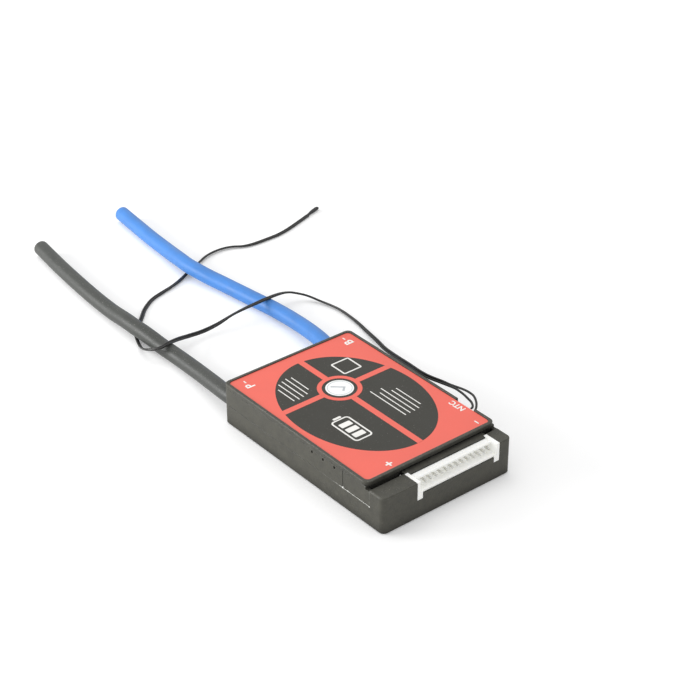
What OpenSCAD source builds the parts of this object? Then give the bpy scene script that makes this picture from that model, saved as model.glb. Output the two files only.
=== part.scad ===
// Battery management board in its moulded case, with two power leads and a thermistor lead.
// The case comes apart into a lower shell, a frame and a cover; the board lies on the parting.
// Origin: middle of the case's footprint, on the surface that it stands on. +Z is up, the
// balance header faces -Y and the power leads leave at +Y.

/* [Case] */
// Width of the case
case_w = 60; // [58:0.5:70]
// Length of the case, front face to rear face
case_l = 91.4; // [89:0.2:104]
// Height of the case, to the top of the cover's rim
case_h = 17.2; // [16.8:0.1:19]
// Thickness of the moulded walls
wall = 1.6; // [1.3:0.1:1.9]
// Thickness of the floor
floor_t = 1.6; // [1.2:0.1:2.2]
// Radius of the upright corners
corner_r = 2.4; // [2:0.2:3.2]
// Bevel along the outer edges
edge_bevel = 0.4; // [0.2:0.1:0.6]
// Height of the frame and the cover together, above the parting
upper_h = 8.9; // [8.7:0.1:9.4]
// Depth of the open step at the front
porch_l = 7.4; // [6.6:0.2:9]
// How far the open step lies below the rim
porch_drop = 2.2; // [2:0.1:2.6]
// Clearance between pieces that fit together
fit_gap = 0.1; // [0.05:0.01:0.15]
// Size of the shadow groove along the joints of the case
groove = 0.12; // [0.08:0.01:0.2]

/* [Cover] */
// Thickness of the cover
cover_t = 1.6; // [1.5:0.1:1.8]
// Open slot between the front step and the cover
cover_slot = 1.5; // [1:0.1:2]
// How far the cover's front edge overhangs the frame
cover_overhang = 0.6; // [0.3:0.1:0.9]
// Width of the rim round the label
rim_w = 1.3; // [1:0.1:1.6]
// Thickness of the label
label_t = 0.3; // [0.2:0.05:0.4]
// How far the label lies below the rim
label_sunk = 0.3; // [0.2:0.05:0.4]
// Diameter of the round inspection sticker
sticker_d = 10.6; // [8:0.2:14]
// Thickness of the sticker
sticker_t = 0.1; // [0.05:0.01:0.15]
// Diameter of the pegs that hold the cover
peg_d = 2; // [1.6:0.1:2.2]

/* [Board] */
// Thickness of the circuit board
board_t = 1.6; // [1.4:0.1:1.8]
// Gap between the board's edge and the walls
board_gap = 0.3; // [0.2:0.05:0.5]
// Diameter of the posts that carry the board
post_d = 4; // [3.4:0.2:4.4]
// Diameter of the pins on the posts
post_pin_d = 1.8; // [1.4:0.1:2]

/* [Balance header] */
// Number of contacts
header_ways = 14; // [9:1:14]
// Spacing of the contacts
header_pitch = 2.5; // [2.3:0.05:2.6]
// Distance of the header's middle from the case's middle
header_offset = 4.8; // [3:0.2:5]
// Depth of the header, mouth to back
header_l = 11.4; // [11:0.2:12.4]
// Height of the header
header_h = 5.2; // [5:0.1:5.4]
// Thickness of its upper and lower walls
header_wall = 0.7; // [0.5:0.05:0.8]
// Thickness of its end walls
header_end = 1.4; // [1.2:0.1:1.6]
// Side of the square contact pins
pin_w = 0.64; // [0.5:0.02:0.7]

/* [Thermistor lead] */
// Distance of the thermistor socket from the front face
socket_from_front = 23.75; // [23.15:0.2:25.35]
// Width of the thermistor socket
socket_w = 9.2; // [8.9:0.1:9.4]
// Length of the notch in the frame and the rim
notch_l = 9.8; // [9.6:0.1:10.2]
// Diameter of each insulated thermistor wire
ntc_wire_d = 0.9; // [0.8:0.05:1]
// Thickness of the thermistor's tip
bead_d = 1.5; // [1.2:0.1:1.8]

/* [Power leads] */
// Diameter of a power lead over its insulation
lead_d = 6.5; // [5.6:0.1:6.6]
// Diameter of a power lead's copper
core_d = 4.2; // [3.6:0.1:4.4]
// Distance of the load lead from the case's left side
load_lead_inset = 6.4; // [5.2:0.1:7.4]
// Distance of the battery lead from the case's right side
battery_lead_inset = 5.1; // [5:0.1:7]
// Length of insulation inside the case
lead_tail = 3; // [2:0.2:4]
// Length of stripped copper
strip_l = 12; // [10:0.5:13]

/* [Power stage] */
// Transistors in each of the two rows
mosfet_count = 6; // [4:1:6]
// Spacing of the transistors
mosfet_pitch = 8.4; // [8:0.1:8.6]
// Height of a power transistor above the board
mosfet_h = 2.3; // [2.1:0.1:2.5]
// Thickness of the soft pad on the transistors
pad_t = 1; // [0.8:0.1:1.2]
// Thickness of the copper straps
strap_t = 0.8; // [0.6:0.1:1]

/* [Hidden] */
$fn = 48;

// Planes of the case
parting_z = case_h - upper_h;
porch_h = case_h - porch_drop;
front_y = -case_l / 2;
rear_y = case_l / 2;
inside_x = case_w / 2 - wall;
inside_rear = rear_y - wall;
porch_back = front_y + porch_l;
cover_front = porch_back + cover_slot;
frame_front = cover_front + cover_overhang;
cover_z = case_h - cover_t;
cover_l = rear_y - cover_front;
cover_mid = (rear_y + cover_front) / 2;
lip_t = wall / 2 - fit_gap;
lip_h = 1;
cut = 1;

// The board and what it lies on
board_z = parting_z;
board_top = board_z + board_t;
foot_l = 2.2;
foot_w = 2.5;
foot_drop = 2.2;
header_front = front_y + 0.1;
header_back = header_front + header_l;
board_front = header_front + foot_l + 0.2;
board_rear = inside_rear - board_gap;
board_w = 2 * (inside_x - board_gap);
rib_t = 1.2;
post_x = inside_x - 3.2;
post_front = header_back + 4.2;
post_rear = rear_y - 30.2;
lower_ribs = [front_y + 35, post_rear - 9, post_rear + 8];
frame_ribs = [front_y + 35, post_rear - rib_t / 2, rear_y - 14];
boss_d = peg_d + 2;
boss_inset = peg_d / 2 + 0.7;
boss_front = frame_front + wall + 0.7;
boss_rear = inside_rear - boss_inset;
peg_l = 3;

// The balance header
row_w = (header_ways - 1) * header_pitch;
header_w = row_w + 5.9;
header_x0 = header_offset - header_w / 2;
header_x1 = header_offset + header_w / 2;
header_back_h = 3.4;
header_shroud_back = porch_back - 0.4;
header_roof_back = header_shroud_back - 1;
header_roof_top = board_top + header_h - 0.6;
header_roof_front = front_y + 3.2;
header_lip_front = front_y + 0.5;
shelf_z = board_top + header_back_h + fit_gap;
pin_z = board_top + header_h / 2;
pin_tip = front_y + 2;
leg_y = header_back + 0.6;
leg_below = 1.2;

// The thermistor socket and its plug
socket_y = front_y + socket_from_front;
socket_x0 = case_w / 2 - 8.2;
socket_x1 = case_w / 2 - 0.05;
socket_h = cover_z - board_top - 0.05;
socket_wall = 0.7;
socket_back = 1.6;
socket_pitch = 2.5;
socket_mid = board_top + socket_h / 2;
plug_w = socket_w - 2 * socket_wall - 2 * fit_gap;
plug_h = socket_h - 2 * socket_wall - 2 * fit_gap;
plug_x0 = socket_x0 + socket_back + fit_gap;
plug_x1 = case_w / 2 + 1.1;
plug_seal = 1;
channel_w = 1.3;

// The power leads
lead_z = board_z - core_d / 2;
load_x = -case_w / 2 + load_lead_inset;
battery_x = case_w / 2 - battery_lead_inset;
lead_start = inside_rear - lead_tail;
lead_bore = lead_d + 2 * fit_gap;

// The power stage, laid out from the rear wall
row_ys = [rear_y - 35.7, rear_y - 23.7];
mosfet_w = 6.5;
mosfet_l = 6.1;
tab_t = 0.5;
tab_out = 1;
leg_out = 1.9;
stage_mid = (row_ys[0] + row_ys[1]) / 2;
stage_l = row_ys[1] - row_ys[0] + mosfet_l;
spreader_w = 2 * (inside_x - rib_t) - 1.8;
strap_y = rear_y - 11.2;
strap_w = 6;
strap_split = 2;

// The measuring parts, laid out from the header
cell_count = header_ways - 1;
part_gap = 0.5;
resistor_l = 5;
shunt_l = 6.3;
resistor_t = 0.7;
resistor_row = 2 * (post_x - post_pin_d / 2 - 1.15);
resistor_pitch = (resistor_row + part_gap) / cell_count;
resistor_w = resistor_pitch - part_gap;
resistor_y = leg_y + pin_w / 2 + 0.45 + resistor_l / 2;
transistor_y = resistor_y + resistor_l / 2 + 2.6;
capacitor_y = transistor_y + 2.8;
small_row = [-inside_x + 4, socket_x0 - 2.4];
small_mid = (small_row[0] + small_row[1]) / 2;
chip_w = 7;
chip_leg = 1;
chip_legs = 12;
chip_y = capacitor_y + chip_w / 2 + chip_leg + 1.1;
shunt_y = (chip_y + chip_w / 2 + chip_leg + row_ys[0] - mosfet_l / 2 - leg_out) / 2;

// Each route lists x, y and how far the lead is lifted off the surface
load_route = concat(
    [[load_x, lead_start, lead_z], [load_x, rear_y, lead_z], [load_x, rear_y + 6, lead_z - 0.1]],
    lifted([
        [-23, 58, 2.35], [-21.5, 71, 1.05], [-20.6, 84, 0.2], [-20.5, 93, 0], [-20.7, 100, 0.1],
        [-21, 106, 0.6], [-21.3, 112, 1], [-21.5, 117.5, 1.05], [-21.4, 123, 0.95],
        [-21.2, 129, 0.5], [-21, 135.5, 0.1], [-20.4, 148.5, 0], [-19.2, 163, 0],
        [-17.4, 180.5, 0], [-14.7, 201, 0]
    ], lead_d)
);
battery_route = concat(
    [[battery_x, lead_start, lead_z], [battery_x, rear_y, lead_z],
     [battery_x + 0.8, rear_y + 6, lead_z - 0.1]],
    lifted([
        [28.3, 61, 2.5], [30.6, 76, 1.1], [31.1, 93, 0.1], [29.4, 108, 0], [27.2, 125, 0.05],
        [25.6, 133, 0.5], [24.6, 139, 0.95], [24.1, 145.5, 1.05], [24.5, 152, 0.95],
        [25.2, 158, 0.5], [25.9, 164, 0.1], [26.8, 176, 0], [28, 188, 0], [29.9, 205.5, 0]
    ], lead_d)
);
ntc_route = lifted([
    [39.9, -3, 10.55], [40, -0.3, 10.15], [39.9, 4.7, 9.4], [40, 9.9, 8.55], [40.7, 15.8, 7.65],
    [42.5, 23.5, 6.15], [43.9, 30.3, 4.85], [45.3, 36.6, 3.6], [46.7, 42.9, 2.6],
    [48.1, 47.6, 1.85], [49.5, 52.4, 1.2], [51.3, 59, 0.5], [53, 66.1, 0.05], [54, 73.8, 0],
    [54.3, 81, 0], [53.5, 87, 0], [52.2, 91.2, 0.5], [49.3, 96.4, 1.85], [44.7, 99.1, 3.65],
    [41.5, 99.7, 4.75], [36.4, 98.9, 6.15], [29.3, 98.3, 6.7], [24.8, 98, 6.7],
    [19.5, 98.5, 6.1], [13, 99.3, 4.8], [6.3, 99.4, 3.3], [-1, 99.5, 2.6], [-8, 99, 3.4],
    [-14.6, 97.2, 5.2], [-20.7, 95.1, 6.7], [-24.7, 94.6, 6.4], [-27, 97.2, 5.2],
    [-27.5, 100.5, 3.8], [-26.7, 105, 1.8], [-24.5, 111, 0.15], [-21.5, 117.5, 0],
    [-17.5, 122, 0], [-12, 127.5, 0], [-7, 132.5, 0], [-0.5, 137, 0], [5.5, 139, 0],
    [12, 140.7, 0], [18, 143, 0], [24, 146, 0], [33.5, 150.5, 0], [39, 153, 0], [45.5, 154, 0],
    [51.5, 153, 0], [56, 150.2, 0], [61, 149, 0], [68, 148.8, 0], [75, 149, 0], [82, 150.5, 0],
    [90, 153, 0], [96, 155, 0]
], ntc_wire_d);
tip_sizes = [0.65, 1, 1.1, 0.6];
tip_route = [for (p = [[96, 155, 0], [99, 156, 1], [102, 157, 2], [104, 157.7, 3]])
    [p[0], p[1], bead_d * tip_sizes[p[2]] / 2]];
tail_start = [plug_x1, socket_y, socket_mid];
front_tail = [
    tail_start + [0, -socket_pitch / 2, 0], tail_start + [1.7, -socket_pitch / 2 + 0.2, 0],
    [34.8, -21.5, 12.75], [37.4, -19.2, 12.9], [39.1, -16.8, 13], [40.6, -13.9, 12.9],
    [41, -11.2, 12.6], [41.1, -8.2, 12.1], [40.9, -5.6, 11.6], [40.35, -3, 10.55 + ntc_wire_d / 2]
];
rear_tail = [
    tail_start + [0, socket_pitch / 2, 0], tail_start + [1.7, socket_pitch / 2 + 0.1, 0],
    [34.4, -20.1, 12.75], [35.4, -18.2, 12.8], [36.3, -15.4, 12.7], [37.5, -12.1, 12.5],
    [38.7, -8.3, 12.1], [39.25, -5.5, 11.6], [39.45, -3, 10.55 + ntc_wire_d / 2]
];

// Lays route points on the surface: half the cord's thickness, and the lift
function lifted(points, thickness) = [for (p = points) [p[0], p[1], thickness / 2 + p[2]]];

function unit(v) = v / norm(v);
function heading(route, i) = unit(route[min(i + 1, len(route) - 1)] - route[max(i - 1, 0)]);
function across(route, i) = unit(cross(heading(route, i), [0, 0, 1]));

// One ring of a swept cord, square to its path; the wide side stays level
function ring(route, i, width, height, sides) =
    let (side = across(route, i), up = cross(side, heading(route, i)))
    [for (k = [0:sides - 1])
        let (a = 360 * (k + 0.5) / sides)
        route[i] + side * cos(a) * width / 2 + up * sin(a) * height / 2];

// A cord: one ring of points at each point of its route. widths and heights scale each ring
module swept_cord(route, width, height, sides, scales = []) {
    rings = len(route);
    points = [for (i = [0:rings - 1])
        let (s = len(scales) > 0 ? scales[i] : 1)
        each ring(route, i, width * s, height * s, sides)];
    skin = [for (i = [0:rings - 2], k = [0:sides - 1])
        let (a = i * sides + k, b = i * sides + (k + 1) % sides)
        each [[a, b, b + sides], [a, b + sides, a + sides]]];
    start_cap = [[for (k = [0:sides - 1]) sides - 1 - k]];
    end_cap = [[for (k = [0:sides - 1]) (rings - 1) * sides + k]];
    polyhedron(points, concat(skin, start_cap, end_cap));
}

// A rectangle with round corners, centred
module rounded_rect(w, l, r) {
    square([w - 2 * r, l], center = true);
    square([w, l - 2 * r], center = true);
    for (x = [-1, 1], y = [-1, 1])
        translate([x * (w / 2 - r), y * (l / 2 - r)]) circle(r);
}

// The bevelled top of a rounded plate: straight slopes on the sides and cones in the corners
module bevelled_top(w, l, r, bevel) {
    for (size = [[w - 2 * r, l, 90], [l - 2 * r, w, 0]])
        rotate([90, 0, size[2]])
            translate([0, 0, -size[0] / 2])
                linear_extrude(size[0])
                    polygon([
                        [-size[1] / 2, 0], [size[1] / 2, 0],
                        [size[1] / 2 - bevel, bevel], [-size[1] / 2 + bevel, bevel]
                    ]);
    for (x = [-1, 1], y = [-1, 1])
        translate([x * (w / 2 - r), y * (l / 2 - r), 0])
            cylinder(h = bevel, r1 = r, r2 = r - bevel);
}

// A plate with round corners and a bevel round its upper edge
module bevelled_plate(w, l, r, h, bevel) {
    linear_extrude(h - bevel) rounded_rect(w, l, r);
    translate([0, 0, h - bevel]) bevelled_top(w, l, r, bevel);
}

// A box given by its two corners
module span_box(a, b) {
    translate(a) cube(b - a);
}

// The stepped mouth in the case's front for the balance header
module header_mouth(gap) {
    span_box([header_x0 - gap, front_y - cut, board_top - gap],
             [header_x1 + gap, porch_back + cut, case_h]);
    for (x = [header_x0 - gap, header_x1 + gap - foot_w - 2 * gap])
        span_box([x, front_y - cut, board_top - foot_drop - gap],
                 [x + foot_w + 2 * gap, board_front, board_top]);
}

// Both lead outlets through the rear wall
module lead_bores() {
    for (x = [load_x, battery_x])
        translate([x, inside_rear - cut, lead_z])
            rotate([-90, 0, 0]) cylinder(h = wall + 2 * cut, d = lead_bore);
}

module board_posts(d, z0, z1) {
    for (x = [-1, 1], y = [post_front, post_rear])
        translate([x * post_x, y, z0]) cylinder(h = z1 - z0, d = d);
}

// Lower shell: tray, front step with the header's mouth, posts and ribs under the board
module lower_case() color([0.13, 0.13, 0.125]) {
    difference() {
        union() {
            translate([0, 0, edge_bevel]) mirror([0, 0, 1])
                bevelled_top(case_w, case_l, corner_r, edge_bevel);
            translate([0, 0, edge_bevel])
                linear_extrude(parting_z - edge_bevel) rounded_rect(case_w, case_l, corner_r);
            intersection() {
                translate([0, 0, edge_bevel])
                    bevelled_plate(case_w, case_l, corner_r, porch_h - edge_bevel, edge_bevel);
                span_box([-case_w, front_y - cut, 0], [case_w, porch_back, case_h]);
            }
            // The lip that the frame's walls fit over
            translate([0, 0, parting_z - cut])
                linear_extrude(lip_h + cut)
                    rounded_rect(2 * (inside_x + lip_t), case_l - 2 * (wall - lip_t),
                                 corner_r - wall + lip_t);
        }
        // The space for the board, and the hollow of the front step
        translate([0, 0, floor_t])
            linear_extrude(porch_h - wall - floor_t)
                rounded_rect(2 * inside_x, case_l - 2 * wall, corner_r - wall);
        span_box([-inside_x, porch_back, parting_z], [inside_x, inside_rear, case_h]);
        span_box([-case_w, porch_back, parting_z + lip_h], [case_w, rear_y, case_h]);
        header_mouth(fit_gap);
        lead_bores();
    }
    // Cheeks beside the header
    difference() {
        for (x = [header_x0 - fit_gap - rib_t, header_x1 + fit_gap])
            span_box([x, front_y + wall, board_top + 0.1],
                     [x + rib_t, porch_back, porch_h - wall]);
        header_mouth(fit_gap);
    }
    board_posts(post_d, floor_t, board_z);
    board_posts(post_pin_d, board_z, board_top + 0.6);
    for (x = [-inside_x, inside_x - rib_t], y = lower_ribs)
        span_box([x, y, floor_t], [x + rib_t, y + rib_t, board_z]);
}

// Frame: side and rear walls above the parting, and the wall and shelf behind the header
module case_frame() color([0.14, 0.14, 0.135]) {
    difference() {
        union() {
            difference() {
                translate([0, 0, parting_z])
                    linear_extrude(cover_z - parting_z) rounded_rect(case_w, case_l, corner_r);
                translate([0, 0, parting_z - cut])
                    linear_extrude(case_h)
                        rounded_rect(2 * inside_x, case_l - 2 * wall, corner_r - wall);
                span_box([-case_w, front_y - cut, 0], [case_w, porch_back + fit_gap, case_h]);
            }
            // Wall that closes the frame behind the front slot
            span_box([-inside_x, frame_front, board_top + 0.05],
                     [inside_x, frame_front + wall, cover_z]);
            // Shelf over the back of the header
            span_box([header_x0 + 0.3, header_shroud_back + fit_gap, shelf_z],
                     [header_x1 - 0.3, frame_front + wall, porch_h]);
            span_box([header_x0 + header_end + fit_gap, header_roof_back + fit_gap, shelf_z],
                     [header_x1 - header_end - fit_gap, frame_front, porch_h]);
            for (x = [-1, 1], y = [boss_front, boss_rear])
                translate([x * (inside_x - boss_inset), y, board_top + 0.05])
                    cylinder(h = cover_z - board_top - 0.05, d = boss_d);
            for (x = [-inside_x, inside_x - rib_t], y = frame_ribs)
                span_box([x, y, board_top + 0.05], [x + rib_t, y + rib_t, cover_z]);
        }
        // The slot before the cover runs out through both side walls
        for (x = [-case_w / 2 - cut, inside_x])
            span_box([x, porch_back, porch_h - 0.5], [x + wall + cut, frame_front, case_h]);
        // Rebate over the lower shell's lip
        translate([0, 0, parting_z - cut])
            linear_extrude(lip_h + fit_gap + cut)
                rounded_rect(2 * (inside_x + lip_t + fit_gap),
                             case_l - 2 * (wall - lip_t - fit_gap),
                             corner_r - wall + lip_t + fit_gap);
        // Shadow grooves along the parting and under the cover
        for (z = [parting_z, cover_z - groove])
            translate([0, 0, z]) linear_extrude(groove)
                difference() {
                    square(2 * case_l, center = true);
                    rounded_rect(case_w - 2 * groove, case_l - 2 * groove, corner_r - groove);
                }
        // Room for the back of the header and its bent pins
        span_box([header_x0 - fit_gap, porch_back, board_top - fit_gap],
                 [header_x1 + fit_gap, frame_front + wall + cut, shelf_z]);
        for (x = [-1, 1], y = [boss_front, boss_rear])
            translate([x * (inside_x - boss_inset), y, cover_z - peg_l - 0.4])
                cylinder(h = peg_l + cut, d = peg_d + 2 * fit_gap);
        span_box([inside_x - cut, socket_y - notch_l / 2, board_top - fit_gap],
                 [case_w / 2 + cut, socket_y + notch_l / 2, case_h]);
        lead_bores();
        pin_holes();
        snap_slits();
    }
}

// Three pin holes through the left wall
module pin_holes() {
    hole_w = 0.9;
    hole_h = 1.2;
    for (i = [0:2])
        translate([-case_w / 2 - cut, socket_y + 2.6 + 6.2 * i, cover_z - 1.3])
            rotate([0, 90, 0]) linear_extrude(wall + 2 * cut) {
                square([hole_h - hole_w, hole_w], center = true);
                for (x = [-1, 1]) translate([x * (hole_h - hole_w) / 2, 0]) circle(d = hole_w);
            }
}

// The slit beside the snap in each side wall
module snap_slits() {
    slit_w = 0.3;
    for (x = [-case_w / 2 - cut, case_w / 2 - 0.5])
        span_box([x, socket_y - 2.3, parting_z + groove],
                 [x + 0.5 + cut, socket_y - 2.3 + slit_w, cover_z]);
}

// Cover: plate with a raised rim round the label, and four pegs
module top_cover() color([0.15, 0.15, 0.145]) {
    difference() {
        translate([0, cover_mid, cover_z])
            bevelled_plate(case_w, cover_l, corner_r, cover_t, edge_bevel / 2);
        translate([0, cover_mid, case_h - label_t - label_sunk])
            linear_extrude(cover_t)
                rounded_rect(case_w - 2 * rim_w, cover_l - 2 * rim_w, corner_r - rim_w / 2);
        // Notch in the rim where the thermistor socket shows
        span_box([case_w / 2 - rim_w, socket_y - notch_l / 2, 0],
                 [case_w / 2 + cut, socket_y + notch_l / 2, case_h + cut]);
    }
    for (x = [-1, 1], y = [boss_front, boss_rear])
        translate([x * (inside_x - boss_inset), y, cover_z - peg_l])
            cylinder(h = peg_l, d = peg_d);
}

// The printed label in the cover's recess
module label() color([0.86, 0.16, 0.13])
    translate([0, cover_mid, case_h - label_sunk - label_t])
        linear_extrude(label_t)
            rounded_rect(case_w - 2 * rim_w - fit_gap, cover_l - 2 * rim_w - fit_gap,
                         corner_r - rim_w / 2);

module inspection_sticker() color([0.95, 0.95, 0.94])
    translate([1, cover_mid + 11.2, case_h - label_sunk])
        cylinder(h = sticker_t, d = sticker_d);

// White glue that shows in the parting groove and up the end of the frame's left wall
module seam_glue() color([0.85, 0.85, 0.82]) {
    span_box([-case_w / 2, porch_back + fit_gap, parting_z],
             [-case_w / 2 + groove, porch_back + 27, parting_z + groove]);
    span_box([-case_w / 2 + 0.05, porch_back, parting_z],
             [-case_w / 2 + groove, porch_back + fit_gap, porch_h - edge_bevel - 0.2]);
}

// Board with lead notches, post holes and contact holes
module circuit_board() color([0.05, 0.28, 0.14])
    difference() {
        span_box([-board_w / 2, board_front, board_z], [board_w / 2, board_rear, board_top]);
        for (x = [load_x, battery_x])
            span_box([x - lead_d / 2 - 0.4, lead_start - 0.3, board_z - cut],
                     [x + lead_d / 2 + 0.4, board_rear + cut, board_top + cut]);
        board_posts(post_pin_d + 2 * fit_gap, board_z - cut, board_top + cut);
        for (i = [0:header_ways - 1])
            translate([pin_x(i), leg_y, board_z - cut]) cylinder(h = board_t + 2 * cut, d = 1);
        for (s = [-1, 1])
            translate([socket_x0 - 0.6, socket_y + s * socket_pitch / 2, board_z - cut])
                cylinder(h = board_t + 2 * cut, d = 1);
    }

function pin_x(i) = header_offset + (i - (header_ways - 1) / 2) * header_pitch;

// A contact pin bent down into the board, from its tip to its leg, along X
module bent_pin(length) {
    drop = pin_z - board_z + leg_below;
    linear_extrude(pin_w, center = true)
        polygon([
            [0, -pin_w / 2], [length - pin_w, -pin_w / 2], [length - pin_w, -drop],
            [length, -drop], [length, pin_w / 2], [0, pin_w / 2]
        ]);
}

module header_pins() color([0.8, 0.79, 0.74])
    for (i = [0:header_ways - 1])
        translate([pin_x(i), pin_tip, pin_z])
            rotate([90, 0, 90]) bent_pin(leg_y + pin_w / 2 - pin_tip);

// Balance header: a shroud open to the front, with a low back and two feet past the board
module balance_header() color([0.93, 0.93, 0.9])
    difference() {
        union() {
            span_box([header_x0, header_front, board_top],
                     [header_x1, header_roof_back, header_roof_top]);
            for (x = [header_x0, header_x1 - header_end])
                span_box([x, header_front, board_top],
                         [x + header_end, header_shroud_back, board_top + header_h]);
            span_box([header_x0, header_front, board_top],
                     [header_x1, header_back, board_top + header_back_h]);
            for (x = [header_x0, header_x1 - foot_w])
                span_box([x, header_front, board_top - foot_drop],
                         [x + foot_w, header_front + foot_l, board_top]);
        }
        // The socket
        span_box([header_x0 + header_end, front_y - cut, board_top + header_wall],
                 [header_x1 - header_end, header_roof_back - 0.8, header_roof_top - header_wall]);
        // The roof stands back from the end walls, and the lower lip a little
        span_box([header_x0 + header_end, front_y - cut, header_roof_top - header_wall],
                 [header_x1 - header_end, header_roof_front, case_h]);
        span_box([header_x0 + foot_w, front_y - cut, board_top - cut],
                 [header_x1 - foot_w, header_lip_front, board_top + header_wall]);
        for (i = [0:header_ways - 1])
            span_box([pin_x(i) - pin_w / 2, pin_tip, pin_z - pin_w / 2],
                     [pin_x(i) + pin_w / 2, header_back + cut, pin_z + pin_w / 2]);
    }

// Thermistor socket: two-way, open to the right
module ntc_socket() color([0.93, 0.93, 0.9])
    difference() {
        span_box([socket_x0, socket_y - socket_w / 2, board_top],
                 [socket_x1, socket_y + socket_w / 2, board_top + socket_h]);
        span_box([socket_x0 + socket_back, socket_y - plug_w / 2 - fit_gap,
                  socket_mid - plug_h / 2 - fit_gap],
                 [case_w, socket_y + plug_w / 2 + fit_gap, socket_mid + plug_h / 2 + fit_gap]);
        for (s = [-1, 1]) ntc_pin_channel(s, socket_x0 - cut, socket_x0 + socket_back + cut, pin_w);
    }

module ntc_pin_channel(s, x0, x1, w) {
    span_box([x0, socket_y + s * socket_pitch / 2 - w / 2, socket_mid - w / 2],
             [x1, socket_y + s * socket_pitch / 2 + w / 2, socket_mid + w / 2]);
}

module ntc_socket_pins() color([0.8, 0.79, 0.74])
    for (s = [-1, 1]) {
        ntc_pin_channel(s, socket_x0 - 0.6 - pin_w / 2, socket_x0 + 5.2, pin_w);
        translate([socket_x0 - 0.6, socket_y + s * socket_pitch / 2, 0])
            span_box([-pin_w / 2, -pin_w / 2, board_z - leg_below],
                     [pin_w / 2, pin_w / 2, socket_mid]);
    }

module ntc_plug() color([0.9, 0.9, 0.87])
    difference() {
        span_box([plug_x0, socket_y - plug_w / 2, socket_mid - plug_h / 2],
                 [plug_x1, socket_y + plug_w / 2, socket_mid + plug_h / 2]);
        for (s = [-1, 1]) ntc_pin_channel(s, plug_x0 - cut, plug_x1 - plug_seal, channel_w);
    }

// Places its children at every power transistor
module each_mosfet() {
    for (y = row_ys, i = [0:mosfet_count - 1])
        translate([(i - (mosfet_count - 1) / 2) * mosfet_pitch, y, board_top]) children();
}

// A moulded transistor body with sloped sides
module mosfet_bodies() color([0.1, 0.1, 0.1])
    each_mosfet()
        rotate([90, 0, 0])
            linear_extrude(mosfet_l, center = true)
                polygon([
                    [-mosfet_w / 2 + 0.1, tab_t], [mosfet_w / 2 - 0.1, tab_t],
                    [mosfet_w / 2, (mosfet_h + tab_t) / 2], [mosfet_w / 2 - 0.3, mosfet_h],
                    [-mosfet_w / 2 + 0.3, mosfet_h], [-mosfet_w / 2, (mosfet_h + tab_t) / 2]
                ]);

// Copper tab under each body, and its two leads
module mosfet_tabs() color([0.78, 0.78, 0.76])
    each_mosfet() {
        span_box([-2.7, -2.2, 0], [2.7, mosfet_l / 2 + tab_out, tab_t]);
        for (x = [-2.3, 2.3])
            span_box([x - 0.4, -mosfet_l / 2 - leg_out, 0], [x + 0.4, -2.6, tab_t]);
    }

module thermal_pad() color([0.55, 0.62, 0.68])
    translate([0, stage_mid, board_top + mosfet_h])
        linear_extrude(pad_t)
            rounded_rect(mosfet_count * mosfet_pitch - 1, stage_l + 2, 1);

// Aluminium plate between the soft pad and the cover
module heat_spreader() color([0.75, 0.76, 0.77])
    translate([0, stage_mid, board_top + mosfet_h + pad_t])
        linear_extrude(cover_z - board_top - mosfet_h - pad_t)
            rounded_rect(spreader_w, stage_l + 6, 2);

module current_shunts() color([0.28, 0.27, 0.27])
    for (i = [0:3])
        translate([(i - 1.5) * 5, shunt_y, board_top + 0.4])
            cube([3.2, shunt_l, 0.8], center = true);

// A copper strap across half of the board, over a lead's solder joint
module strap(x0, x1) {
    span_box([x0, strap_y - strap_w / 2, board_top],
             [x1, strap_y + strap_w / 2, board_top + strap_t]);
}

module battery_strap() color([0.82, 0.8, 0.74]) strap(strap_split, inside_x - 2);

module load_strap() color([0.82, 0.8, 0.74]) strap(-inside_x + 2, -strap_split);

// Places its children at each cell's resistor
module each_resistor() {
    for (i = [0:cell_count - 1])
        translate([(i - (cell_count - 1) / 2) * resistor_pitch, resistor_y, board_top]) children();
}

module balance_resistors() color([0.12, 0.12, 0.12])
    each_resistor()
        translate([0, 0, resistor_t / 2])
            cube([resistor_w, resistor_l - 1.2, resistor_t], center = true);

module resistor_caps() color([0.8, 0.8, 0.78])
    each_resistor()
        for (y = [-1, 1])
            translate([0, y * (resistor_l / 2 - 0.3), resistor_t / 2])
                cube([resistor_w, 0.6, resistor_t], center = true);

// One small three-legged transistor for each cell
module balance_transistors() color([0.1, 0.1, 0.1])
    for (i = [0:cell_count - 1])
        translate([small_x(i, cell_count, 2.5), transistor_y, board_top]) {
            translate([0, 0, 0.6]) cube([1.3, 2.9, 1], center = true);
            for (leg = [[-0.9, -0.95], [-0.9, 0.95], [0.9, 0]])
                translate([leg[0], leg[1], 0.15]) cube([0.7, 0.4, 0.3], center = true);
        }

// Where the i-th of n small parts of this width sits in its row
function small_x(i, n, width) =
    small_row[0] + width / 2 + i * (small_row[1] - small_row[0] - width) / (n - 1);

module monitor_chip() color([0.08, 0.08, 0.08])
    translate([small_mid - 6, chip_y, board_top + 0.1])
        linear_extrude(1.4) rounded_rect(chip_w, chip_w, 0.2);

module monitor_chip_legs() color([0.8, 0.8, 0.78])
    translate([small_mid - 6, chip_y, board_top])
        for (turn = [0:3], i = [0:chip_legs - 1])
            rotate(90 * turn)
                translate([(i - (chip_legs - 1) / 2) * 0.5, chip_w / 2, 0])
                    span_box([-0.11, 0, 0], [0.11, chip_leg, 0.2]);

// Eight-legged driver chip, body and legs in one
module driver_chip() color([0.08, 0.08, 0.08])
    translate([small_mid + 8, chip_y, board_top]) {
        translate([0, 0, 0.8]) cube([5, 4, 1.4], center = true);
        for (s = [-1, 1], i = [0:3])
            translate([(i - 1.5) * 1.27, s * 2.5, 0.25]) cube([0.4, 1.1, 0.5], center = true);
    }

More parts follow.
